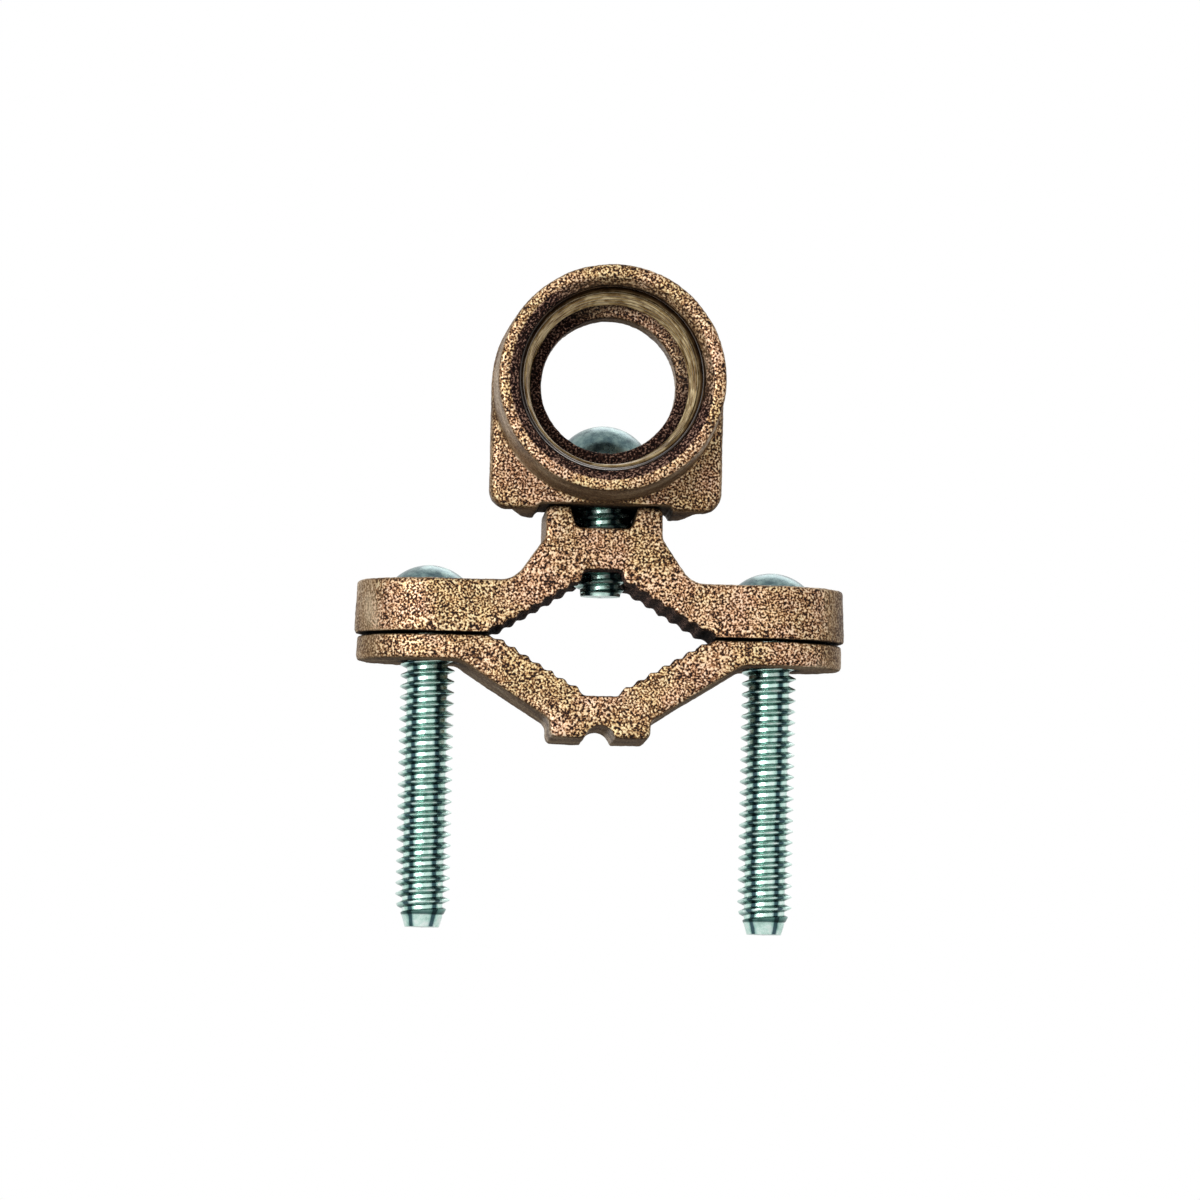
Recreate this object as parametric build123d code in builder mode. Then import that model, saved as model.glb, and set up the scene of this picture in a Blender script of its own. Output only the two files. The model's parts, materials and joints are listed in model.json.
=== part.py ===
from build123d import *
from math import cos, radians, sin, tan
import os

# Earth rod clamp with a conduit hub.
# Two serrated bronze jaws close on a ground rod. Two slotted steel screws draw them together.
# A bronze hub for rigid conduit stands on the upper jaw's yoke, held down by a third screw.
#
# Frame: X runs from clamp screw to clamp screw, Y along the rod, Z up. The origin is the middle
# of the rod's opening, on the parting face of the upper jaw. The hub's mouth faces -Y.
# All sizes are millimetres, all angles degrees.

os.makedirs("parts", exist_ok=True)

# ---------------------------------------------------------------- screws: 1/4-20 round head
thread_diameter = 6.35        # nominal, over the crests
head_diameter = 11.3
head_height = 4.1
slot_width = 1.8
slot_depth = 2.3
tip_diameter = 4.0
lead_in_diameter = 5.0        # over the first, unfinished turns of thread
lead_in_length = 2.4
tip_chamfer = 0.5             # height of the cone at the very tip
clamp_screw_length = 38.1     # 1 1/2 inch under the head
hub_screw_length = 15.9       # 5/8 inch under the head
tapped_clearance = 0.2        # radial, between thread crests and the wall of a tapped hole
drilled_clearance = 0.35      # radial, in a plain drilled hole

# ---------------------------------------------------------------- jaws
screw_spacing = 39.8          # between the axes of the clamp screws
casting_draft = 2.0           # on the side walls of the jaws
cast_edge_radius = 0.45       # softened outer edges of the castings
jaw_gap = 0.3                 # left between the parting faces, screws nipped up
rod_half_width = 13.0         # middle of the opening to the foot of a flank
flank_angle = 31.0            # rise of the serrated flanks
crown_half_width = 2.3        # flat relief between the two flanks
tooth_count = 7               # teeth on each flank
plain_flank = 0.72            # along the flank, from the parting face to the first tooth
tooth_angle = 120.0           # between the two faces of a tooth

upper_jaw_depth = 17.3        # along the rod, at the parting face
upper_ear_thickness = 6.2
upper_edge_land = 0.35        # upright edge between parting face and flank
upper_crown_height = 7.5
flank_slope = 55.0            # outer flank of the upper jaw
flank_top_height = 11.2       # where the outer flank meets the yoke
shoulder_radius = 3.0         # fillet between ear and outer flank
yoke_root_radius = 1.0        # fillet between outer flank and yoke
yoke_half_width = 6.8
yoke_height = 15.0
cheek_radius = 0.8            # rounded tops of the yoke's two cheeks
channel_floor_width = 7.9
channel_depth = 2.6
channel_draft = 15.0          # slope of the channel's side walls
channel_corner_radius = 0.9
seat_diameter = 12.4          # spot-faced seats that the screw heads sink into
seat_depth = 2.1

lower_jaw_depth = 16.6        # along the rod, at the parting face
lower_ear_thickness = 2.9
lower_edge_land = 0.1
lower_crown_height = 6.8
lower_flank_start = 16.5      # from the middle, where the ear turns down into the outer flank
lower_flank_slope = 32.5
foot_half_width = 5.9
foot_depth = 11.75            # parting face to the soles of the feet
flank_root_radius = 1.0       # fillets where the outer flank meets ear and foot
foot_corner_radius = 0.8
notch_radius = 1.75           # half-round notch between the feet
notch_depth = 1.5

# ---------------------------------------------------------------- conduit hub
conduit_bore_diameter = 21.3  # over the roots of the 1/2 inch conduit thread
conduit_bore_depth = 11.2
mouth_diameter = 23.4         # funnel at the mouth
mouth_depth = 1.1
collar_root_diameter = 26.6   # at the plate, from where the collar draws in to its mouth
collar_length = 12.5
collar_draft = 1.0
throat_diameter = 15.6        # way through for the earthing conductor
throat_edge_radius = 0.5      # at the stop shoulder inside the bore
plate_width = 26.9
plate_thickness = 3.9
plate_corner_radius = 2.2
plate_foot = 0.85             # square foot of the plate, under its round part
plate_edge_radius = 0.9       # on the front rim of the plate
skirt_depth = 0.7             # hub hangs this far over the sides of the yoke
skirt_clearance = 1.0         # each side of the yoke
head_room = 0.95              # screw head to the back of the plate
base_width = 18.6             # at the back edge, to which the base narrows from the plate
base_tail = 5.7               # hub screw axis to the back edge of the base
base_corner_radius = 2.0
tongue_length = 1.6           # rib that keys the hub in the yoke's channel
tongue_clearance = 0.15

# ---------------------------------------------------------------- derived places
thread_radius = thread_diameter / 2
tapped_radius = thread_radius + tapped_clearance
drilled_radius = thread_radius + drilled_clearance
flank_length = (rod_half_width - crown_half_width) / cos(radians(flank_angle))
tooth_pitch = (flank_length - plain_flank) / tooth_count
tooth_height = tooth_pitch / 2 / tan(radians(tooth_angle / 2))
section_half_length = screw_spacing / 2 + upper_jaw_depth
flank_run = (flank_top_height - upper_ear_thickness) / tan(radians(flank_slope))
channel_floor = yoke_height - channel_depth
clamp_seat = upper_ear_thickness - seat_depth
hub_underside = yoke_height - skirt_depth
conduit_height = hub_underside + plate_foot + plate_width / 2
hub_seat = conduit_height - throat_diameter / 2
plate_back = head_diameter / 2 + head_room
plate_middle = plate_back + plate_thickness / 2
plate_front = plate_back + plate_thickness
base_root_width = plate_width - 2 * plate_corner_radius
collar_front = plate_front + collar_length
tongue_height = channel_depth - tongue_clearance
foot_rise = (lower_flank_start - foot_half_width) * tan(radians(lower_flank_slope))

same_place = 0.01             # differences under this are only rounding

upper_plane = Plane.XZ
lower_plane = Plane((0, 0, -jaw_gap), x_dir=(1, 0, 0), z_dir=(0, 1, 0))


def flank_point(along, height, edge_land):
    """Point on the right-hand flank: along it from the parting face, and height off it."""
    slope = radians(flank_angle)
    return (
        rod_half_width - along * cos(slope) - height * sin(slope),
        edge_land + along * sin(slope) - height * cos(slope),
    )


def rod_opening(edge_land, crown_height):
    """Half of the rod's opening: two serrated flanks that rise to a flat crown."""
    serration = [flank_point(0, 0, edge_land)]
    for tooth in range(tooth_count):
        start = plain_flank + tooth * tooth_pitch
        serration.append(flank_point(start, 0, edge_land))
        serration.append(flank_point(start + tooth_pitch / 2, tooth_height, edge_land))
    serration.append(flank_point(flank_length, 0, edge_land))
    with BuildSketch() as opening:
        with BuildLine():
            Polyline(
                (0, 0),
                (rod_half_width, 0),
                *serration,
                (crown_half_width, crown_height),
                (0, crown_height),
            )
            mirror(about=Plane.YZ)
        make_face()
    return opening.sketch


def cast_edges(jaw, parting_height):
    """Edges between a jaw's section and its drafted side walls, but not at its parting face."""

    def belongs_to_section(face):
        drafted = face.geom_type == GeomType.CONE or abs(face.normal_at().Y) > same_place
        return not drafted and abs(face.center().Z - parting_height) > same_place

    rims = jaw.faces().filter_by(belongs_to_section).edges()
    return rims.filter_by(Axis.Y, reverse=True)


def slotted_screw(length):
    """Round-head screw: domed head up from z = 0 with its slot along X, shank down."""
    with BuildPart() as screw:
        with BuildSketch(Plane.XZ):
            with BuildLine():
                Polyline(
                    (0, head_height),
                    (0, -length),
                    (tip_diameter / 2, -length),
                    (lead_in_diameter / 2, -length + tip_chamfer),
                    (thread_radius, -length + lead_in_length),
                    (thread_radius, 0),
                    (head_diameter / 2, 0),
                )
                TangentArc((0, head_height), (head_diameter / 2, 0), tangent=(1, 0))
            make_face()
        revolve(axis=Axis.Z)
        with BuildSketch(Plane.XY.offset(head_height)):
            Rectangle(head_diameter, slot_width)
        extrude(amount=-slot_depth, mode=Mode.SUBTRACT)
    return screw.part


# ---------------------------------------------------------------- upper jaw
with BuildPart() as upper_jaw:
    with BuildSketch(upper_plane) as section:
        with BuildLine():
            Polyline(
                (0, 0),
                (section_half_length, 0),
                (section_half_length, upper_ear_thickness),
                (yoke_half_width + flank_run, upper_ear_thickness),
                (yoke_half_width, flank_top_height),
                (yoke_half_width, yoke_height),
                (0, yoke_height),
            )
            mirror(about=Plane.YZ)
        make_face()
        fillet(section.vertices().group_by(Axis.Y)[3], cheek_radius)
        fillet(section.vertices().group_by(Axis.Y)[2], yoke_root_radius)
        fillet(section.vertices().group_by(Axis.Y)[1].sort_by(Axis.X)[1:-1], shoulder_radius)
    extrude(amount=upper_jaw_depth, both=True)
    # the plan outline rounds the ears about the screws, and gives the sides their draft
    with BuildSketch(Plane.XY):
        SlotCenterToCenter(screw_spacing, upper_jaw_depth)
    extrude(amount=yoke_height, taper=casting_draft, mode=Mode.INTERSECT)
    fillet(cast_edges(upper_jaw, 0), cast_edge_radius)
    # channel between the cheeks of the yoke
    with BuildSketch(upper_plane) as channel:
        with Locations((0, channel_floor)):
            Trapezoid(
                channel_floor_width,
                channel_depth,
                90 + channel_draft,
                align=(Align.CENTER, Align.MIN),
            )
        fillet(channel.vertices().group_by(Axis.Y)[0], channel_corner_radius)
    extrude(amount=upper_jaw_depth, both=True, mode=Mode.SUBTRACT)
    # serrated opening for the rod
    with BuildSketch(upper_plane):
        add(rod_opening(upper_edge_land, upper_crown_height))
    extrude(amount=upper_jaw_depth, both=True, mode=Mode.SUBTRACT)
    # seats and drilled holes for the clamp screws
    with Locations((0, 0, upper_ear_thickness)):
        with GridLocations(screw_spacing, 0, 2, 1):
            CounterBoreHole(drilled_radius, seat_diameter / 2, seat_depth, upper_ear_thickness)
    # tapped hole for the hub screw, through the channel's floor
    with Locations((0, 0, channel_floor)):
        Hole(tapped_radius, depth=channel_floor)
upper_jaw.part.label = "upper_jaw"
export_step(upper_jaw.part, "parts/upper_jaw.step")

# ---------------------------------------------------------------- lower jaw
with BuildPart() as lower_jaw:
    with BuildSketch(lower_plane) as section:
        with BuildLine():
            Polyline(
                (0, 0),
                (section_half_length, 0),
                (section_half_length, lower_ear_thickness),
                (lower_flank_start, lower_ear_thickness),
                (foot_half_width, lower_ear_thickness + foot_rise),
                (foot_half_width, foot_depth),
                (0, foot_depth),
            )
            mirror(about=Plane.YZ)
        make_face()
        fillet(section.vertices().group_by(Axis.Y)[3], foot_corner_radius)
        fillet(section.vertices().group_by(Axis.Y)[2], flank_root_radius)
        fillet(section.vertices().group_by(Axis.Y)[1].sort_by(Axis.X)[1:-1], flank_root_radius)
    extrude(amount=lower_jaw_depth, both=True)
    # plan outline, which widens downwards
    with BuildSketch(Plane((0, 0, -jaw_gap), z_dir=(0, 0, -1))):
        SlotCenterToCenter(screw_spacing, lower_jaw_depth)
    extrude(amount=foot_depth, taper=-casting_draft, mode=Mode.INTERSECT)
    fillet(cast_edges(lower_jaw, -jaw_gap), cast_edge_radius)
    # serrated opening for the rod
    with BuildSketch(lower_plane):
        add(rod_opening(lower_edge_land, lower_crown_height))
    extrude(amount=lower_jaw_depth, both=True, mode=Mode.SUBTRACT)
    # half-round notch that parts the two feet
    with BuildSketch(lower_plane):
        with Locations((0, foot_depth + notch_radius - notch_depth)):
            Circle(notch_radius)
    extrude(amount=lower_jaw_depth, both=True, mode=Mode.SUBTRACT)
    # tapped holes for the clamp screws
    with Locations((0, 0, -jaw_gap)):
        with GridLocations(screw_spacing, 0, 2, 1):
            Hole(tapped_radius, depth=foot_depth)
lower_jaw.part.label = "lower_jaw"
export_step(lower_jaw.part, "parts/lower_jaw.step")

# ---------------------------------------------------------------- conduit hub
with BuildPart() as conduit_hub:
    # upright plate: round about the conduit's axis, square below it
    with BuildSketch(Plane.XZ.offset(plate_back)) as plate:
        with Locations((0, conduit_height)):
            Circle(plate_width / 2)
            Rectangle(
                plate_width,
                conduit_height - hub_underside,
                align=(Align.CENTER, Align.MAX),
            )
        fillet(plate.vertices().group_by(Axis.Y)[0], plate_corner_radius)
    extrude(amount=plate_thickness)
    plate_rims = conduit_hub.edges().group_by(Axis.Y)
    fillet(plate_rims[0], plate_edge_radius)
    fillet(plate_rims[-1], cast_edge_radius)
    # collar, drawn in towards its mouth
    with BuildSketch(Plane.XZ.offset(plate_front)):
        with Locations((0, conduit_height)):
            Circle(collar_root_diameter / 2)
    extrude(amount=collar_length, taper=collar_draft)
    fillet(conduit_hub.edges().group_by(Axis.Y)[0], cast_edge_radius)
    # base, which lies on the yoke
    with BuildSketch(Plane.XY.offset(hub_underside)) as base:
        with BuildLine():
            Polyline(
                (-base_root_width / 2, -plate_middle),
                (base_root_width / 2, -plate_middle),
                (base_width / 2, base_tail),
                (-base_width / 2, base_tail),
                close=True,
            )
        make_face()
        fillet(base.vertices().group_by(Axis.Y)[-1], base_corner_radius)
    extrude(amount=hub_seat - hub_underside)
    fillet(conduit_hub.edges().group_by(Axis.Y)[-1].filter_by(Axis.X), cast_edge_radius)
    # underside let in over the yoke
    with BuildSketch(Plane.XZ.offset(plate_front)):
        with Locations((0, yoke_height)):
            Rectangle(
                2 * (yoke_half_width + skirt_clearance),
                2 * skirt_depth,
                align=(Align.CENTER, Align.MAX),
            )
    extrude(amount=-(plate_front + base_tail), mode=Mode.SUBTRACT)
    # rib that keys the hub in the yoke's channel, behind the screw
    with BuildSketch(Plane.XZ.offset(-base_tail)) as tongue:
        with Locations((0, yoke_height - tongue_height)):
            Trapezoid(
                channel_floor_width - 2 * tongue_clearance,
                tongue_height,
                90 + channel_draft,
                align=(Align.CENTER, Align.MIN),
            )
        fillet(tongue.vertices().group_by(Axis.Y)[0], channel_corner_radius)
    extrude(amount=tongue_length)
    # hole for the hub screw
    with Locations((0, 0, hub_seat)):
        Hole(drilled_radius, depth=hub_seat - yoke_height + skirt_depth)
    # funnelled mouth and bore for the conduit, and the throat behind it
    with Locations(Plane((0, -collar_front, conduit_height), z_dir=(0, -1, 0))):
        CounterBoreHole(
            throat_diameter / 2,
            conduit_bore_diameter / 2,
            conduit_bore_depth,
            collar_front - plate_back,
        )
        CounterSinkHole(conduit_bore_diameter / 2, mouth_diameter / 2, mouth_depth, 90)
    throat_rims = conduit_hub.edges().filter_by(
        lambda rim: rim.geom_type == GeomType.CIRCLE
        and abs(rim.radius - throat_diameter / 2) < same_place
    )
    fillet(throat_rims.sort_by(Axis.Y)[0], throat_edge_radius)
conduit_hub.part.label = "conduit_hub"
export_step(conduit_hub.part, "parts/conduit_hub.step")

# ---------------------------------------------------------------- screws
for side, name in ((-1, "clamp_screw_left"), (1, "clamp_screw_right")):
    with BuildPart(Plane((side * screw_spacing / 2, 0, clamp_seat))) as clamp_screw:
        add(slotted_screw(clamp_screw_length))
    clamp_screw.part.label = name
    export_step(clamp_screw.part, f"parts/{name}.step")

with BuildPart(Plane.XY.offset(hub_seat)) as hub_screw:
    add(slotted_screw(hub_screw_length))
hub_screw.part.label = "hub_screw"
export_step(hub_screw.part, "parts/hub_screw.step")
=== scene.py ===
import json
from math import atan2, cos, pi, radians, sin

import bmesh
import bpy
import numpy as np
from mathutils import Matrix, Vector
from mathutils.noise import noise as noise_at


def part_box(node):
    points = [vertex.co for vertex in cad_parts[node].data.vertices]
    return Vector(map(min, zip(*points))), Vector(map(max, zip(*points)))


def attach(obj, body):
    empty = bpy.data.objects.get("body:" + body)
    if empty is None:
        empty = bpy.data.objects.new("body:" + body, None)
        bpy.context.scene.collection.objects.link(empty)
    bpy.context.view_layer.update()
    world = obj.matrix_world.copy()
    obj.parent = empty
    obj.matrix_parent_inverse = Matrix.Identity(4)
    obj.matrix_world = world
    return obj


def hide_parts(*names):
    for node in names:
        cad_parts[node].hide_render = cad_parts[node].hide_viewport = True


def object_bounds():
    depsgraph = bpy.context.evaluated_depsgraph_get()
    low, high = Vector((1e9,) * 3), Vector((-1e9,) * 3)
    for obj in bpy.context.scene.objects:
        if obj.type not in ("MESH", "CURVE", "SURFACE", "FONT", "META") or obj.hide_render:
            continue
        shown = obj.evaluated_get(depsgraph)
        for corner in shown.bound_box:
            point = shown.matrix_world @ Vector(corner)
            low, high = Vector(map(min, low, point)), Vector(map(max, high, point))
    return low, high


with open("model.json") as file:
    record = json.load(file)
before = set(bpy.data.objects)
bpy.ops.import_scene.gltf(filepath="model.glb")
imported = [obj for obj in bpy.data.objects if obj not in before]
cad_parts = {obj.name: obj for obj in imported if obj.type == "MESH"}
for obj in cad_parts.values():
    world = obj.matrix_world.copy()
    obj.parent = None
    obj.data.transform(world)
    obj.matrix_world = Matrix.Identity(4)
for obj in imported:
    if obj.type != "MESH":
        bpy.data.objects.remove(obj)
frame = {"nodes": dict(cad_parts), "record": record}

# Earth rod clamp with a conduit hub. All lengths are metres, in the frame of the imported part:
# X from clamp screw to clamp screw, Y along the rod, Z up, the hub's mouth towards -Y.

MM = 0.001
cad_lo, cad_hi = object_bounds()

# ---------------------------------------------------------------- sizes
yoke_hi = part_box("upper_jaw")[1]
hub_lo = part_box("conduit_hub")[0]
bore = next(m for m in frame["record"]["mounts"] if m["name"] == "conduit_bore")
CONDUIT_HEIGHT = bore["pos_m"][2]
BORE_RADIUS = bore["dims"]["r_mm"] * MM

SCREW_PITCH = 1.27 * MM            # 20 threads to the inch
SCREW_CREST_RADIUS = 3.175 * MM
SCREW_ROOT_RADIUS = 2.36 * MM
SCREW_FLATS = (0.10, 0.32)         # shares of the pitch that are flat crest and flat root
SCREW_STEPS = 72                   # about the axis
PROFILE_SAMPLES = 14               # along one turn's profile, of every thread
NECK = 0.2 * MM                    # left unthreaded under the head
INTO_HEAD = 0.3 * MM               # the shank runs on inside the head
# length of the tip's bare cone, where the thread is full, radius at the end
LONG_TIP = (1.2 * MM, 2.9 * MM, 2.0 * MM)
SHORT_TIP = (0.35 * MM, 1.3 * MM, 2.3 * MM)
HEAD_HEIGHT = 4.1 * MM
HEAD_RADIUS = 5.65 * MM
SLOT_WIDTH = 1.8 * MM
SLOT_DEPTH = 2.3 * MM
HEAD_EDGE = 0.12 * MM              # rounding of the head's rim and of the slot
HEAD_EDGE_SEGMENTS = 3
HEAD_EDGE_ANGLE = 32               # degrees, where an edge starts to be rounded
HEAD_RINGS = 14
HEAD_STEPS = 96

CONDUIT_PITCH = 25.4 / 14 * MM     # 1/2 inch conduit thread
CONDUIT_WALL = 0.02 * MM           # gap to the bore's wall, and least thickness of the sleeve
CONDUIT_DEPTH = 1.0 * MM           # crest to root
CONDUIT_FLATS = (0.12, 0.12)
CONDUIT_STEPS = 160
# millimetres from the stop shoulder, and radius there in millimetres
CONDUIT_CRESTS = ((0.0, 9.1), (8.0, 9.8), (10.1, 10.5))
FUNNEL_DEPTH = 1.1 * MM
STOP_DEPTH = 11.2 * MM             # from the mouth to the stop shoulder
BORE_FRONT = hub_lo.y + FUNNEL_DEPTH
BORE_BACK = hub_lo.y + STOP_DEPTH
FUNNEL_RADIUS = 11.7 * MM          # at the mouth

ROD_HALF_WIDTH = 13.1 * MM         # of the opening between the jaws
ROD_HALF_HEIGHT = 7.6 * MM


# ---------------------------------------------------------------- mesh helpers
def link(mesh, name):
    piece = bpy.data.objects.new(name, mesh)
    bpy.context.scene.collection.objects.link(piece)
    return piece


def mesh_from(vertices, faces, name):
    mesh = bpy.data.meshes.new(name)
    mesh.from_pydata([tuple(v) for v in vertices], [], faces)
    mesh.update()
    return mesh


def baked(piece):
    """The piece's mesh with its modifiers applied, in place of the old one."""
    bpy.context.view_layer.update()
    evaluated = piece.evaluated_get(bpy.context.evaluated_depsgraph_get())
    mesh = bpy.data.meshes.new_from_object(evaluated)
    piece.modifiers.clear()
    piece.data = mesh
    return piece


def thread_rows(samples, steps, pitch, low, high, radius_at):
    """Vertices and faces of a right-hand helical surface about Z from low to high.

    radius_at(phase, z) gives the radius, phase running from 0 to 1 through one turn's profile.
    Rows follow the helix, so crests and roots stay crisp; the ends are trimmed flat.
    """
    rows = int((high - low) / pitch * samples) + 2 * samples + 1
    vertices = []
    for row in range(rows):
        for step in range(steps):
            turn = step / steps
            z = low + (row / samples - 1 + turn) * pitch
            z = min(max(z, low), high)
            phase = ((z - low) / pitch - turn) % 1
            radius = radius_at(phase, z)
            vertices.append((radius * cos(2 * pi * turn), radius * sin(2 * pi * turn), z))
    faces = []
    for row in range(rows - 1):
        for step in range(steps - 1):
            a = row * steps + step
            faces.append((a, a + 1, a + steps + 1, a + steps))
        last = row * steps + steps - 1
        if row + samples + 1 < rows:
            first = (row + samples) * steps
            faces.append((last, first, first + steps, last + steps))
    return vertices, faces


def tidy_shell(vertices, faces, name, merge=1e-8):
    """A mesh with doubles merged and collapsed faces gone."""
    mesh = mesh_from(vertices, faces, name)
    shell = bmesh.new()
    shell.from_mesh(mesh)
    bmesh.ops.remove_doubles(shell, verts=shell.verts, dist=merge)
    bmesh.ops.dissolve_degenerate(shell, edges=shell.edges, dist=merge)
    return mesh, shell


def cap_loops(shell):
    """Closes every open ring of the shell with one face."""
    open_edges = [edge for edge in shell.edges if edge.is_boundary]
    bmesh.ops.holes_fill(shell, edges=open_edges, sides=0)
    bmesh.ops.recalc_face_normals(shell, faces=shell.faces)


def smooth_by_angle(piece, degrees=35):
    for face in piece.data.polygons:
        face.use_smooth = True
    with bpy.context.temp_override(object=piece, active_object=piece, selected_objects=[piece],
                                   selected_editable_objects=[piece]):
        bpy.ops.object.shade_smooth_by_angle(angle=radians(degrees), keep_sharp_edges=False)


def v_profile(phase, root, crest, flats):
    """Radius of a thread with a flat crest, two straight flanks and a flat root."""
    crest_share, root_share = flats
    distance = abs(phase - 0.5) * 2      # 0 in the middle of the crest, 1 in the root
    flank = (distance - crest_share) / (1 - crest_share - root_share)
    flank = min(max(flank, 0), 1)
    return crest + (root - crest) * flank


# ---------------------------------------------------------------- screws
def domed_head(name):
    """Round head with a bevelled slot along X, standing on z = 0."""
    ball = (HEAD_RADIUS ** 2 + HEAD_HEIGHT ** 2) / (2 * HEAD_HEIGHT)
    start = np.arccos((ball - HEAD_HEIGHT) / ball)
    profile = [(HEAD_RADIUS, 0.0)]
    for ring in range(1, HEAD_RINGS):
        angle = start * (1 - ring / HEAD_RINGS)
        profile.append((ball * sin(angle), ball * cos(angle) - (ball - HEAD_HEIGHT)))
    vertices = []
    for radius, z in profile:
        for step in range(HEAD_STEPS):
            turn = 2 * pi * step / HEAD_STEPS
            vertices.append((radius * cos(turn), radius * sin(turn), z))
    vertices.append((0, 0, HEAD_HEIGHT))
    faces = [tuple(reversed(range(HEAD_STEPS)))]
    for ring in range(HEAD_RINGS - 1):
        for step in range(HEAD_STEPS):
            a = ring * HEAD_STEPS + step
            b = ring * HEAD_STEPS + (step + 1) % HEAD_STEPS
            faces.append((a, b, b + HEAD_STEPS, a + HEAD_STEPS))
    top = len(vertices) - 1
    for step in range(HEAD_STEPS):
        a = (HEAD_RINGS - 1) * HEAD_STEPS + step
        b = (HEAD_RINGS - 1) * HEAD_STEPS + (step + 1) % HEAD_STEPS
        faces.append((a, b, top))
    # worked in millimetres, where the boolean and the bevel are well conditioned
    head = link(mesh_from([Vector(v) / MM for v in vertices], faces, name), name)
    cutter_mesh = bpy.data.meshes.new(name + "_slot")
    cutter = bmesh.new()
    bmesh.ops.create_cube(cutter, size=1)
    size = Vector((4 * HEAD_RADIUS, SLOT_WIDTH, 2 * SLOT_DEPTH)) / MM
    bmesh.ops.scale(cutter, vec=size, verts=cutter.verts)
    bmesh.ops.translate(cutter, vec=(0, 0, HEAD_HEIGHT / MM), verts=cutter.verts)
    cutter.to_mesh(cutter_mesh)
    cutter.free()
    slot = link(cutter_mesh, name + "_slot")
    cut = head.modifiers.new("slot", "BOOLEAN")
    cut.operation = "DIFFERENCE"
    cut.solver = "EXACT"
    cut.object = slot
    edge = head.modifiers.new("edge", "BEVEL")
    edge.width = HEAD_EDGE / MM
    edge.segments = HEAD_EDGE_SEGMENTS
    edge.limit_method = "ANGLE"
    edge.angle_limit = radians(HEAD_EDGE_ANGLE)
    baked(head)
    bpy.data.objects.remove(slot)
    head.data.transform(Matrix.Scale(MM, 4))
    return head


def screw(node, name, bare, full, end):
    """A slotted round-head screw with a real thread, in the place of a plain CAD screw."""
    lo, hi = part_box(node)
    axis_x = (lo.x + hi.x) / 2
    seat = hi.z - HEAD_HEIGHT
    length = seat - lo.z

    def radius_at(phase, z):
        radius = v_profile(phase, SCREW_ROOT_RADIUS, SCREW_CREST_RADIUS, SCREW_FLATS)
        tip = z + length
        core = end + (SCREW_ROOT_RADIUS - end) * min(tip / bare, 1)
        share = max(tip - bare, 0) / (full - bare)
        limit = core + (SCREW_CREST_RADIUS - core) * share
        if z > -NECK:
            limit = min(limit, SCREW_ROOT_RADIUS)
        return min(radius, limit)

    vertices, faces = thread_rows(
        PROFILE_SAMPLES, SCREW_STEPS, SCREW_PITCH, -length, INTO_HEAD, radius_at)
    mesh, shell = tidy_shell(vertices, faces, name)
    cap_loops(shell)
    shell.to_mesh(mesh)
    shell.free()
    shank = link(mesh, name)
    head = domed_head(name + "_head")
    joined = bmesh.new()
    joined.from_mesh(shank.data)
    joined.from_mesh(head.data)
    joined.to_mesh(shank.data)
    joined.free()
    bpy.data.objects.remove(head)
    shank.data.transform(Matrix.Translation((axis_x, (lo.y + hi.y) / 2, seat)))
    smooth_by_angle(shank)
    return shank


SCREW_TIPS = {
    "clamp_screw_left": LONG_TIP,
    "clamp_screw_right": LONG_TIP,
    "hub_screw": SHORT_TIP,
}
screws = {}
for node, tip in SCREW_TIPS.items():
    piece = screw(node, node + "_steel", *tip)
    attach(piece, node)
    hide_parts(node)
    screws[node] = piece


# ---------------------------------------------------------------- conduit thread
def conduit_crest(z):
    """Radius over the crests, z above the stop shoulder: tapered, with a lead-in at the mouth."""
    depths, radii = zip(*CONDUIT_CRESTS)
    return float(np.interp(z / MM, depths, radii)) * MM


def band(shell, first, second):
    """Faces between two rings of as many vertices."""
    for i in range(len(first)):
        j = (i + 1) % len(first)
        shell.faces.new((first[i], first[j], second[j], second[i]))


def close_behind(shell, heights, wall):
    """Closes an open sleeve with a flat ring at each end and a plain wall behind.

    Made vertex by vertex, because bmesh's extrude and bridge leave their faces in another order
    on each run.
    """
    backs = []
    for height in heights:
        rim = [vertex for vertex in shell.verts
               if vertex.is_boundary and abs(vertex.co.z - height) < CONDUIT_WALL / 10]
        rim.sort(key=lambda vertex: atan2(vertex.co.y, vertex.co.x))
        back = []
        for vertex in rim:
            flat = vertex.co.to_2d().normalized() * wall
            back.append(shell.verts.new((flat.x, flat.y, height)))
        band(shell, rim, back)
        backs.append(back)
    band(shell, *backs)
    bmesh.ops.recalc_face_normals(shell, faces=shell.faces)


def conduit_thread():
    """Threaded sleeve that lines the hub's plain bore."""
    wall = BORE_RADIUS - CONDUIT_WALL
    length = BORE_BACK - BORE_FRONT

    def radius_at(phase, z):
        crest = conduit_crest(z)
        root = min(crest + CONDUIT_DEPTH, wall - CONDUIT_WALL)
        return v_profile(phase, root, crest, CONDUIT_FLATS)

    vertices, faces = thread_rows(
        PROFILE_SAMPLES, CONDUIT_STEPS, CONDUIT_PITCH, 0, length, radius_at)
    mesh, shell = tidy_shell(vertices, faces, "conduit_thread")
    close_behind(shell, (0, length), wall)
    shell.to_mesh(mesh)
    shell.free()
    piece = link(mesh, "conduit_thread")
    # +Z of the sleeve turns to -Y, out of the mouth
    mesh.transform(Matrix.Rotation(radians(90), 4, "X"))
    mesh.transform(Matrix.Translation((0, BORE_BACK, CONDUIT_HEIGHT)))
    smooth_by_angle(piece)
    return piece


thread = conduit_thread()
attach(thread, "hub")


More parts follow.
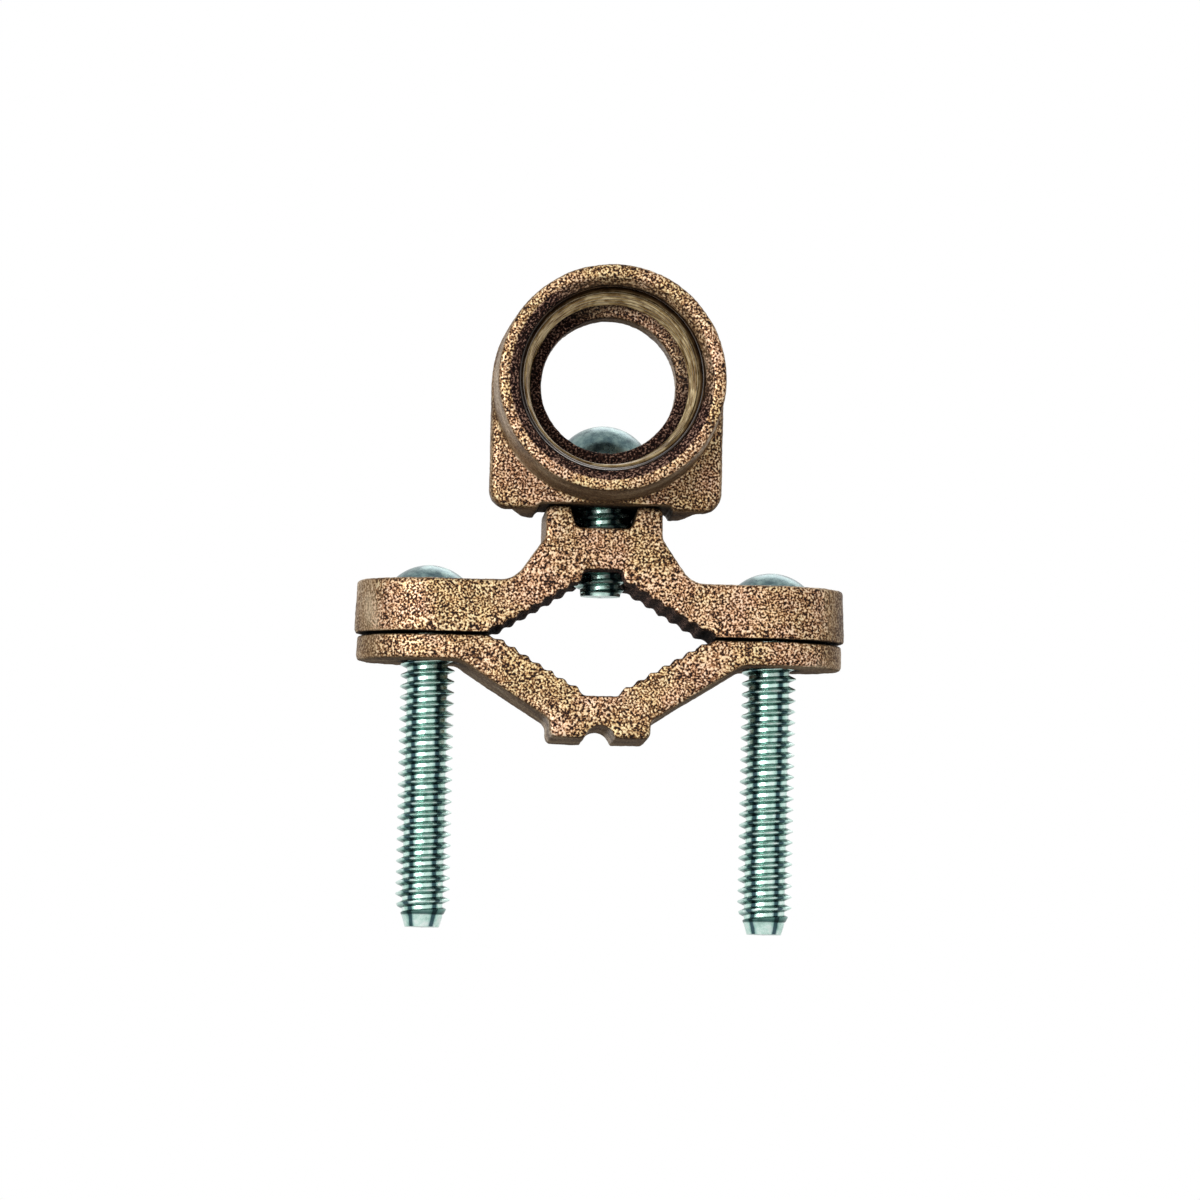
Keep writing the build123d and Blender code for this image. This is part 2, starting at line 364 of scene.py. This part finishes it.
# ---------------------------------------------------------------- castings
VOXEL = 0.24 * MM                  # mesh of the softened castings
SOFTENING = 0.5
SOFTENING_ROUNDS = 3
GRAIN_SIZE = 0.42                  # unevenness of the cast skin; sizes in millimetres
GRAIN_HEIGHT = 0.05 * MM
SWELL_SIZE = 3.1
SWELL_HEIGHT = 0.06 * MM
BURIED = 0.02 * MM                 # sinks the skin, so that its high spots stay near the solid
KEY_HALF_WIDTH = 5 * MM            # reach of the region that holds the key
KEY_FIT = 1.035                    # widens the key, so that no light shows beside it


def skin_rise(spot):
    """How far the cast skin stands out at a spot, which is given in millimetres."""
    grain = noise_at(spot / GRAIN_SIZE) * GRAIN_HEIGHT
    swell = noise_at(spot / SWELL_SIZE) * SWELL_HEIGHT
    return grain + swell - BURIED


def casting(node, name):
    """The casting, with the soft edges and the uneven skin that sand leaves."""
    lo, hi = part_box(node)
    source = frame["nodes"][node]
    mesh = source.data.copy()
    mesh.transform(source.matrix_world)
    mesh.transform(Matrix.Scale(1 / MM, 4))
    piece = link(mesh, name)
    cells = piece.modifiers.new("cells", "REMESH")
    cells.mode = "VOXEL"
    cells.voxel_size = VOXEL / MM
    soft = piece.modifiers.new("soft", "SMOOTH")
    soft.factor = SOFTENING
    soft.iterations = SOFTENING_ROUNDS
    baked(piece)
    skin = piece.data
    skin.materials.clear()
    count = len(skin.vertices)
    spots = np.empty(3 * count)
    skin.vertices.foreach_get("co", spots)
    spots = spots.reshape(count, 3)
    outward = np.empty(3 * count)
    skin.vertex_normals.foreach_get("vector", outward)
    outward = outward.reshape(count, 3)
    rise = [skin_rise(Vector(spot)) for spot in spots]
    spots = spots * MM + outward * np.array(rise)[:, None]
    if node == "conduit_hub":
        # the key sits snug in the yoke's channel
        below_cheeks = spots[:, 2] < yoke_hi.z
        in_channel = abs(spots[:, 0]) < KEY_HALF_WIDTH
        behind_screw = spots[:, 1] > 0
        spots[below_cheeks & in_channel & behind_screw, 0] *= KEY_FIT
    spots = np.clip(spots, tuple(lo), tuple(hi))
    skin.vertices.foreach_set("co", spots.ravel())
    skin.update()
    for face in skin.polygons:
        face.use_smooth = True
    return piece


CASTING_BODIES = {
    "upper_jaw": "upper_jaw",
    "lower_jaw": "lower_jaw",
    "conduit_hub": "hub",
}
castings = {}
for node, body in CASTING_BODIES.items():
    piece = casting(node, node + "_casting")
    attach(piece, body)
    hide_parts(node)
    castings[node] = piece


# ---------------------------------------------------------------- materials
NOISE_MIDDLE = 0.5
FINE_SPREAD = 0.067                # of the grain, about the middle
WIDE_SPREAD = 0.12                 # of the slower noises

# noise sizes
GRAIN = 0.25 * MM
TINT = 0.9 * MM
PATCH = 1.6 * MM
DRIFT = 5.5 * MM
TOOL_RINGS = 1.6 * MM
TOOL_RING_STRETCH = 14             # squeezed along the bore
SMEAR = 2.2 * MM
CLOUD = 1.1 * MM
WANDER = 2.6 * MM

PATCH_SHARE = 0.14                 # of the patches in the grain's height
SIDE_SHADE = 0.75                   # how far the sides take the painted shade
SIDE_FACING = 0.6                  # part of the normal along Y, up to which a face is a side
SIDE_FADE = 0.2
SIDE_GRAIN = 0.45                  # of the grain left in the sides' painted shade
BELOW_START = -0.5                 # upward part of the normal, where undersides start to take painted shade and roughness
BELOW_FULL = -0.85
BELOW_ROUGHNESS = 0.85
FADE = 0.1 * MM                    # soft edge of the oxide and of the painted shade
OXIDE_WIDTH = 4 * MM               # inwards from the bore's wall
MOUTH_LIP = 0.05 * MM              # left clean at the mouth
PAST_STOP = 0.6 * MM               # reach of the oxide behind the stop shoulder
FUNNEL_SHADE_START = 4 * MM              # above the bore's axis, where the oxide and its painted shade start to thin
FUNNEL_SHADE_END = 11 * MM
FUNNEL_SHADE_LEFT = 0.15                 # of the oxide and painted shade, at the end
FUNNEL_SHADE_LEAN = 0.7                  # turns the lighter side to the right
CREVICE = 4 * MM                   # reach of the painted crevice shade
SHUT = 0.15                        # share of open sky where the painted shade is full
OPEN = 0.75                        # and where it ends
# near black of the painted crevice shade
CREVICE_SHADE = (0.006, 0.004, 0.003, 1)
UNDERSIDE_SHADE = (0.45, 0.42, 0.38, 1)     # painted shade on undersides, against the rest
CREST_AT_STOP = 9.2 * MM           # where the thread's colour takes the crests to be
CREST_RISE = 0.8 * MM              # and how much wider at the mouth

REFLECTION_BANDS = 5.0                      # painted reflections: dark bands down the plating, about the shank
REFLECTION_PHASE = 2.65
REFLECTION_WANDER = 0.3


def node_tree(name):
    material = bpy.data.materials.new(name)
    material.use_nodes = True
    tree = material.node_tree
    return material, tree, tree.nodes["Principled BSDF"]


def add_node(tree, kind, **values):
    node = tree.nodes.new(kind)
    for key, value in values.items():
        if key in node.inputs:
            node.inputs[key].default_value = value
        else:
            setattr(node, key, value)
    return node


def split(tree, vector):
    """The X, Y and Z outputs of a vector."""
    node = add_node(tree, "ShaderNodeSeparateXYZ")
    tree.links.new(vector, node.inputs["Vector"])
    return node.outputs["X"], node.outputs["Y"], node.outputs["Z"]


def placed(tree):
    """Place and normal of the shaded point, both in the frame of the part at rest."""
    node = add_node(tree, "ShaderNodeTexCoord")
    return node.outputs["Object"], node.outputs["Normal"]


def noise(tree, vector, feature, detail=2.0, roughness=0.5):
    node = add_node(tree, "ShaderNodeTexNoise", Scale=1 / feature, Detail=detail)
    node.inputs["Roughness"].default_value = roughness
    tree.links.new(vector, node.inputs["Vector"])
    return node.outputs["Fac"]


def ramp(tree, source, stops):
    node = tree.nodes.new("ShaderNodeValToRGB")
    elements = node.color_ramp.elements
    while len(elements) < len(stops):
        elements.new(0.5)
    for element, (position, colour) in zip(elements, stops):
        element.position = position
        element.color = (*colour, 1)
    tree.links.new(source, node.inputs["Fac"])
    return node.outputs["Color"]


def mix(tree, factor, a, b, blend="MIX"):
    node = add_node(tree, "ShaderNodeMix", data_type="RGBA", blend_type=blend)
    for socket, value in ((node.inputs[0], factor), (node.inputs[6], a), (node.inputs[7], b)):
        if isinstance(value, bpy.types.NodeSocket):
            tree.links.new(value, socket)
        else:
            socket.default_value = value
    return node.outputs[2]


def remap(tree, source, low, high, to_low=0.0, to_high=1.0):
    node = add_node(tree, "ShaderNodeMapRange")
    node.inputs["From Min"].default_value = low
    node.inputs["From Max"].default_value = high
    node.inputs["To Min"].default_value = to_low
    node.inputs["To Max"].default_value = to_high
    tree.links.new(source, node.inputs["Value"])
    return node.outputs["Result"]


def maths(tree, operation, a, b=0.0, c=0.0):
    node = add_node(tree, "ShaderNodeMath", operation=operation)
    for socket, value in ((node.inputs[0], a), (node.inputs[1], b), (node.inputs[2], c)):
        if isinstance(value, bpy.types.NodeSocket):
            tree.links.new(value, socket)
        else:
            socket.default_value = value
    return node.outputs[0]


def graded(tree, source, spread, colours):
    """Ramp whose colours stand at so many spreads from the middle of a noise."""
    return ramp(tree, source, [(NOISE_MIDDLE + spread * step, colour) for step, colour in colours])


def off_middle(tree, source, share):
    """A noise about zero, times a share."""
    return maths(tree, "MULTIPLY", maths(tree, "SUBTRACT", source, NOISE_MIDDLE), share)


def within(tree, value, low, high, edge):
    """1 between low and high, falling to 0 over an edge outside them."""
    rise = remap(tree, value, low - edge, low)
    fall = remap(tree, value, high, high + edge, 1.0, 0.0)
    return maths(tree, "MULTIPLY", rise, fall)


def from_axis(tree, across, up):
    """Distance from an axis, from the two coordinates square to it."""
    across_squared = maths(tree, "MULTIPLY", across, across)
    up_squared = maths(tree, "MULTIPLY", up, up)
    return maths(tree, "SQRT", maths(tree, "ADD", across_squared, up_squared))


def seen(tree):
    """1 for what the camera sees, straight, in a reflection or through glass."""
    path = tree.nodes.new("ShaderNodeLightPath")
    direct = maths(tree, "MAXIMUM", path.outputs["Is Camera Ray"], path.outputs["Is Glossy Ray"])
    return maths(tree, "MAXIMUM", direct, path.outputs["Is Transmission Ray"])


def either(tree, factor, first, second, output):
    """Sends a mix of two shaders to an output."""
    blend = tree.nodes.new("ShaderNodeMixShader")
    tree.links.new(factor, blend.inputs[0])
    tree.links.new(first.outputs[0], blend.inputs[1])
    tree.links.new(second.outputs[0], blend.inputs[2])
    tree.links.new(blend.outputs[0], output.inputs["Surface"])


def relief(tree, shader, height, strength, distance):
    bump = add_node(tree, "ShaderNodeBump", Strength=strength, Distance=distance)
    tree.links.new(height, bump.inputs["Height"])
    tree.links.new(bump.outputs["Normal"], shader.inputs["Normal"])


def cast_bronze():
    """Sand-cast bronze: pitted grain over slow drifts of colour, rough oxide in the mouth's
    funnel, and painted shade on the sides, the undersides, in crevices and about the rod opening.
    """
    material, tree, shader = node_tree("cast_bronze")
    where, normal = placed(tree)
    x, y, z = split(tree, where)
    _, facing_y, facing_z = split(tree, normal)
    grain = noise(tree, where, GRAIN, detail=1.0)
    patch = noise(tree, where, PATCH)
    drift = noise(tree, where, DRIFT)
    tint = noise(tree, where, TINT, detail=1.0)
    height = maths(tree, "ADD", grain, off_middle(tree, patch, PATCH_SHARE))
    colour = graded(tree, height, FINE_SPREAD, [
        (-1.88, (0.008, 0.002, 0.001)),
        (-1.28, (0.052, 0.016, 0.004)),
        (-0.84, (0.112, 0.044, 0.015)),
        (-0.38, (0.200, 0.095, 0.040)),
        (0.0, (0.302, 0.156, 0.073)),
        (0.38, (0.414, 0.232, 0.119)),
        (0.84, (0.567, 0.341, 0.191)),
        (1.28, (0.725, 0.478, 0.284)),
        (1.88, (0.883, 0.690, 0.464))])
    warm = graded(tree, drift, WIDE_SPREAD, [(-1, (0.95, 1.0, 0.86)), (1, (1.03, 0.97, 1.02))])
    spot = graded(tree, tint, WIDE_SPREAD, [(-1, (1.0, 0.96, 0.88)), (1, (0.99, 1.02, 1.05))])
    colour = mix(tree, 1.0, colour, warm, "MULTIPLY")
    colour = mix(tree, 1.0, colour, spot, "MULTIPLY")
    # painted shade: browner, darker and smoother on the sides, which turn away from the front
    side_on = within(tree, facing_y, -SIDE_FACING, SIDE_FACING, SIDE_FADE)
    soft = maths(tree, "ADD", drift, off_middle(tree, height, SIDE_GRAIN))
    # colours of the painted shade on the sides
    skin = graded(tree, soft, WIDE_SPREAD, [
        (-1.6, (0.070, 0.030, 0.010)),
        (-0.6, (0.150, 0.082, 0.034)),
        (0.0, (0.215, 0.132, 0.060)),
        (0.7, (0.300, 0.205, 0.108)),
        (1.6, (0.460, 0.360, 0.230))])
    colour = mix(tree, maths(tree, "MULTIPLY", side_on, SIDE_SHADE), colour, skin)
    # oxide in the funnel of the mouth, with painted shade: it thins towards the top and right, so
    # the bottom and left stay darker
    above = maths(tree, "SUBTRACT", z, CONDUIT_HEIGHT)
    radius = from_axis(tree, x, above)
    funnel = within(tree, radius, BORE_RADIUS - OXIDE_WIDTH, FUNNEL_RADIUS, 1.5 * FADE)
    front = within(tree, y, hub_lo.y + MOUTH_LIP, BORE_BACK + PAST_STOP, FADE)
    funnel_slant = maths(tree, "MULTIPLY_ADD", x, FUNNEL_SHADE_LEAN, above)
    thin = remap(tree, funnel_slant, FUNNEL_SHADE_START, FUNNEL_SHADE_END, 1.0, FUNNEL_SHADE_LEFT)
    oxide_and_shade = maths(tree, "MULTIPLY", maths(tree, "MULTIPLY", funnel, front), thin)
    # painted shade on the jaws' inner faces about the rod opening, in the oxide's dark colour
    between = within(tree, x, -ROD_HALF_WIDTH, ROD_HALF_WIDTH, FADE)
    level = within(tree, z, -ROD_HALF_HEIGHT, ROD_HALF_HEIGHT, FADE)
    opening_shade = maths(tree, "MULTIPLY", between, level)
    inner = remap(tree, maths(tree, "MULTIPLY", facing_z, z), 0.0, -FADE)
    opening_shade = maths(tree, "MULTIPLY", opening_shade, inner)
    oxide_and_shade = maths(tree, "MAXIMUM", oxide_and_shade, maths(tree, "MULTIPLY", opening_shade, side_on))
    # dark colour of the oxide in the funnel and of the painted shade in the rod opening
    dark = graded(tree, height, FINE_SPREAD, [
        (-1.5, (0.004, 0.001, 0.001)),
        (0.0, (0.040, 0.014, 0.009)),
        (1.2, (0.120, 0.055, 0.040)),
        (1.9, (0.420, 0.260, 0.190))])
    colour = mix(tree, oxide_and_shade, colour, dark)
    # painted shade on the undersides, which are also made rougher below
    below = remap(tree, facing_z, BELOW_START, BELOW_FULL)
    colour = mix(tree, below, colour, mix(tree, 1.0, colour, UNDERSIDE_SHADE, "MULTIPLY"))
    # painted shade in crevices, where little light gets in
    hidden = add_node(tree, "ShaderNodeAmbientOcclusion", Distance=CREVICE, samples=8)
    open_to_light = remap(tree, hidden.outputs["AO"], SHUT, OPEN)
    colour = mix(tree, open_to_light, CREVICE_SHADE, colour)
    tree.links.new(colour, shader.inputs["Base Color"])
    shader.inputs["Metallic"].default_value = 0.45
    shader.inputs["Specular IOR Level"].default_value = 0.3
    rough = maths(tree, "MAXIMUM", remap(tree, height, 0.35, 0.65, 0.62, 0.40), oxide_and_shade)
    rough = maths(tree, "MAXIMUM", rough, maths(tree, "MULTIPLY", below, BELOW_ROUGHNESS))
    tree.links.new(rough, shader.inputs["Roughness"])
    relief(tree, shader, height, 0.5, 0.1 * MM)
    return material


def machined_bronze():
    """Cut bronze of the conduit thread: bright crests, dark roots, fine tool rings."""
    material, tree, shader = node_tree("machined_bronze")
    where, _ = placed(tree)
    x, y, z = split(tree, where)
    radius = from_axis(tree, x, maths(tree, "SUBTRACT", z, CONDUIT_HEIGHT))
    outward = remap(tree, y, BORE_BACK, BORE_FRONT)
    crest = maths(tree, "ADD", maths(tree, "MULTIPLY", outward, CREST_RISE), CREST_AT_STOP)
    depth = remap(tree, maths(tree, "SUBTRACT", radius, crest), 0.0, 0.75 * CONDUIT_DEPTH)
    stretched = add_node(tree, "ShaderNodeMapping", Scale=(1, TOOL_RING_STRETCH, 1))
    tree.links.new(where, stretched.inputs["Vector"])
    rings = noise(tree, stretched.outputs["Vector"], TOOL_RINGS, 3.0, 0.6)
    smear = noise(tree, where, SMEAR, 3.0, 0.6)
    colour = graded(tree, rings, WIDE_SPREAD, [
        (-1, (0.26, 0.17, 0.065)),
        (0, (0.47, 0.34, 0.16)),
        (1, (0.78, 0.64, 0.38))])
    stain = ramp(tree, smear, [(0.40, (0.45, 0.38, 0.30)), (0.56, (1, 1, 1))])
    root = ramp(tree, depth, [
        (0.05, (1, 1, 1)),
        (0.45, (0.12, 0.08, 0.05)),
        (1.0, (0.03, 0.015, 0.01))])
    colour = mix(tree, 1.0, colour, stain, "MULTIPLY")
    colour = mix(tree, 1.0, colour, root, "MULTIPLY")
    tree.links.new(colour, shader.inputs["Base Color"])
    shader.inputs["Metallic"].default_value = 0.9
    tree.links.new(remap(tree, rings, 0.3, 0.7, 0.22, 0.4), shader.inputs["Roughness"])
    relief(tree, shader, rings, 0.25, 0.04 * MM)
    return material


def zinc_plating(axis_x, seat):
    """Bright zinc plating: painted reflections as dark bands along the shank, thin dark lines in
    the roots, duller head.
    """
    material, tree, shader = node_tree("zinc_plating")
    where, _ = placed(tree)
    x, y, z = split(tree, where)
    across = maths(tree, "SUBTRACT", x, axis_x)
    depth = remap(tree, from_axis(tree, across, y), SCREW_ROOT_RADIUS, SCREW_CREST_RADIUS)
    cloud = noise(tree, where, CLOUD, 3.0, 0.6)
    speck = noise(tree, where, GRAIN)
    # painted reflections: dark bands down the shank
    side = maths(tree, "ARCTAN2", across, maths(tree, "MULTIPLY", y, -1.0))
    wander = noise(tree, where, WANDER)
    side = maths(tree, "ADD", side, maths(tree, "MULTIPLY", wander, REFLECTION_WANDER))
    reflection_wave = maths(tree, "COSINE", maths(tree, "MULTIPLY_ADD", side, REFLECTION_BANDS, REFLECTION_PHASE))
    plate = graded(tree, cloud, WIDE_SPREAD, [
        (-1.5, (0.42, 0.62, 0.55)),
        (0, (0.66, 0.89, 0.81)),
        (1.5, (0.92, 1.0, 0.97))])
    # dark bands of the painted reflections
    band = ramp(tree, remap(tree, reflection_wave, -1.0, 1.0), [
        (0.62, (1, 1, 1)),
        (0.84, (0.62, 0.74, 0.74)),
        (0.94, (0.07, 0.12, 0.15))])
    root = ramp(tree, depth, [
        (0.0, (0.95, 0.97, 0.96)),
        (0.06, (0.9, 0.94, 0.93)),
        (0.16, (0.06, 0.12, 0.12)),
        (0.45, (0.26, 0.38, 0.36)),
        (0.66, (0.45, 0.58, 0.55)),
        (0.82, (1, 1, 1))])
    colour = mix(tree, 1.0, plate, root, "MULTIPLY")
    colour = mix(tree, 1.0, colour, band, "MULTIPLY")
    dull = graded(tree, cloud, WIDE_SPREAD, [
        (-1.5, (0.055, 0.100, 0.115)),
        (0, (0.125, 0.200, 0.205)),
        (1.5, (0.260, 0.370, 0.350))])
    on_head = remap(tree, z, seat - 0.05 * MM, seat + 0.05 * MM)
    colour = mix(tree, on_head, colour, dull)
    tree.links.new(colour, shader.inputs["Base Color"])
    shader.inputs["Metallic"].default_value = 0.85
    tree.links.new(remap(tree, cloud, 0.3, 0.7, 0.20, 0.36), shader.inputs["Roughness"])
    relief(tree, shader, speck, 0.18, 0.04 * MM)
    return material


bronze = cast_bronze()
for node, piece in castings.items():
    piece.data.materials.append(bronze)
    for slot in frame["nodes"][node].material_slots:
        slot.material = bronze
thread.data.materials.append(machined_bronze())
for node, piece in screws.items():
    lo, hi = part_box(node)
    piece.data.materials.append(zinc_plating((lo.x + hi.x) / 2, hi.z - HEAD_HEIGHT))


# ---------------------------------------------------------------- floor, world, lamps
FLOOR_DROP = 52 * MM               # the clamp hangs this far over the floor
FLOOR_REACH = 3.0                  # to every side
FLOOR_TONE = (0.86, 0.86, 0.86, 1)
FLOOR_GLOW = 0.88                  # the pale tone that the camera sees
FLOOR_GLOW_SHARE = 0.82            # the rest is lit, and keeps the shadow
WORLD_LIGHT = 0.4                  # on the object; the camera sees white
WHITE = (1, 1, 1, 1)

# name, direction from the object, distance, width and height, watts
LAMPS = (
    ("key", (-0.5, -0.95, 0.12), 0.6, (0.3, 0.2), 1.9),
    ("fill", (0.45, -0.9, 0.5), 0.7, (0.4, 0.4), 0.25),
    ("back", (0.2, 0.9, 0.8), 0.7, (0.4, 0.3), 0.8),
)


def pale_floor():
    height = cad_lo.z - FLOOR_DROP
    corners = [
        (x * FLOOR_REACH, y * FLOOR_REACH, height)
        for x, y in ((-1, -1), (1, -1), (1, 1), (-1, 1))]
    floor = link(mesh_from(corners, [(0, 1, 2, 3)], "floor"), "floor")
    material, tree, shader = node_tree("pale_floor")
    shader.inputs["Base Color"].default_value = FLOOR_TONE
    shader.inputs["Roughness"].default_value = 0.9
    glow = add_node(tree, "ShaderNodeEmission", Color=WHITE, Strength=FLOOR_GLOW)
    share = maths(tree, "MULTIPLY", seen(tree), FLOOR_GLOW_SHARE)
    either(tree, share, shader, glow, tree.nodes["Material Output"])
    floor.data.materials.append(material)
    return floor


def studio():
    """A world that the camera sees as white, and that lights the object at a plain level."""
    world = bpy.data.worlds.new("studio")
    world.use_nodes = True
    bpy.context.scene.world = world
    tree = world.node_tree
    tree.nodes.clear()
    white = add_node(tree, "ShaderNodeBackground", Color=WHITE, Strength=1.0)
    dim = add_node(tree, "ShaderNodeBackground", Color=WHITE, Strength=WORLD_LIGHT)
    either(tree, seen(tree), dim, white, tree.nodes.new("ShaderNodeOutputWorld"))


def lamp(name, direction, distance, size, power):
    light = bpy.data.lights.new(name, "AREA")
    light.shape = "RECTANGLE"
    light.size = size[0]
    light.size_y = size[1]
    light.energy = power
    lamp_object = bpy.data.objects.new(name, light)
    bpy.context.scene.collection.objects.link(lamp_object)
    direction = Vector(direction).normalized()
    lamp_object.location = (cad_lo + cad_hi) / 2 + direction * distance
    lamp_object.rotation_euler = (-direction).to_track_quat("-Z", "Y").to_euler()


pale_floor()
studio()
for values in LAMPS:
    lamp(*values)


# ---------------------------------------------------------------- camera
CAMERA_DISTANCE = 1.2
CAMERA_AZIMUTH = radians(-2.3)
CAMERA_ELEVATION = radians(-3.8)
CAMERA_ROLL = radians(1.25)
FRAME_WIDTH = 139.8 * MM           # seen at the screws
AIM = Vector((0, 0, 4.55 * MM))


def camera():
    data = bpy.data.cameras.new("camera")
    data.sensor_width = 36
    data.lens = data.sensor_width * CAMERA_DISTANCE / FRAME_WIDTH
    data.clip_start = 0.01
    data.clip_end = 20
    view = bpy.data.objects.new("camera", data)
    bpy.context.scene.collection.objects.link(view)
    back = Vector((
        sin(CAMERA_AZIMUTH) * cos(CAMERA_ELEVATION),
        -cos(CAMERA_AZIMUTH) * cos(CAMERA_ELEVATION),
        sin(CAMERA_ELEVATION)))
    rotation = back.to_track_quat("Z", "Y").to_matrix().to_4x4()
    roll = Matrix.Rotation(CAMERA_ROLL, 4, "Z")
    view.matrix_world = Matrix.Translation(AIM + back * CAMERA_DISTANCE) @ rotation @ roll
    bpy.context.scene.camera = view


camera()
bpy.context.scene.view_settings.view_transform = "Standard"
